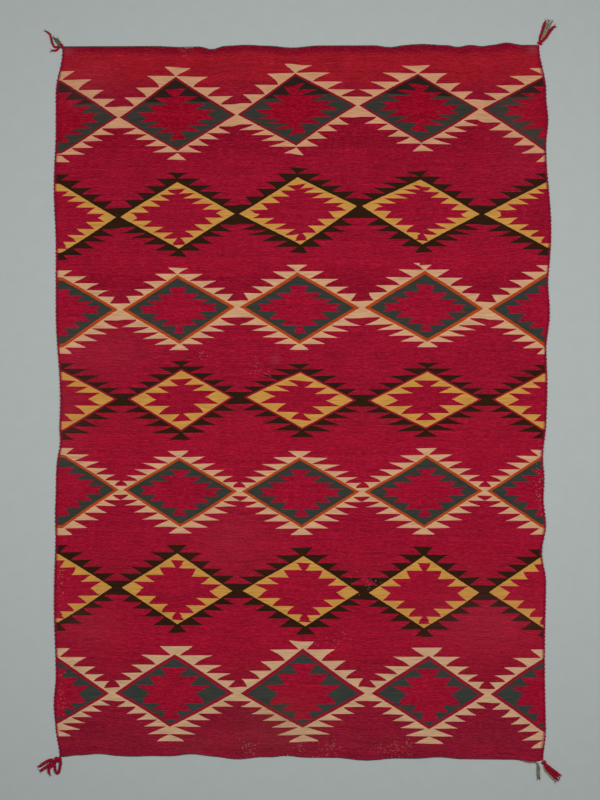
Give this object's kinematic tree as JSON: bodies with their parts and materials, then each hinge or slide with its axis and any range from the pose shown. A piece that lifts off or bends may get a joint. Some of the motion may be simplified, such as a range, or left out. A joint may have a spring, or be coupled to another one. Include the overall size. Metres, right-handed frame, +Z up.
{
  "type": "serape",
  "caption": "Handwoven wool serape lying flat, with a twined cord along each end, a selvage cord down each side and a knotted tassel at each corner.",
  "frame": {"origin": "middle of the underside of the whole thing's box, on the floor that it lies on", "axes": "+Z up from the floor; +Y along the length, towards the end that is at the top of the picture; +X across the width, towards the picture's right"},
  "size_m": [1.3406, 1.9568, 0.0081],
  "materials": {
    "web_wool": "matt handspun wool in weft-faced tapestry weave",
    "end_cord_wool": "matt plied wool cord, grey-green",
    "side_cord_wool": "matt plied wool cord, dark red",
    "tassel_wool": "matt plied wool strands, knotted"
  },
  "bodies": {
    "root": {"web": "web_wool", "end_cord_top": "end_cord_wool", "end_cord_bottom": "end_cord_wool", "side_cord_left": "side_cord_wool", "side_cord_right": "side_cord_wool", "tassel_top_left": "tassel_wool", "tassel_top_right": "tassel_wool", "tassel_bottom_left": "tassel_wool", "tassel_bottom_right": "tassel_wool"}
  },
  "joints": []
}
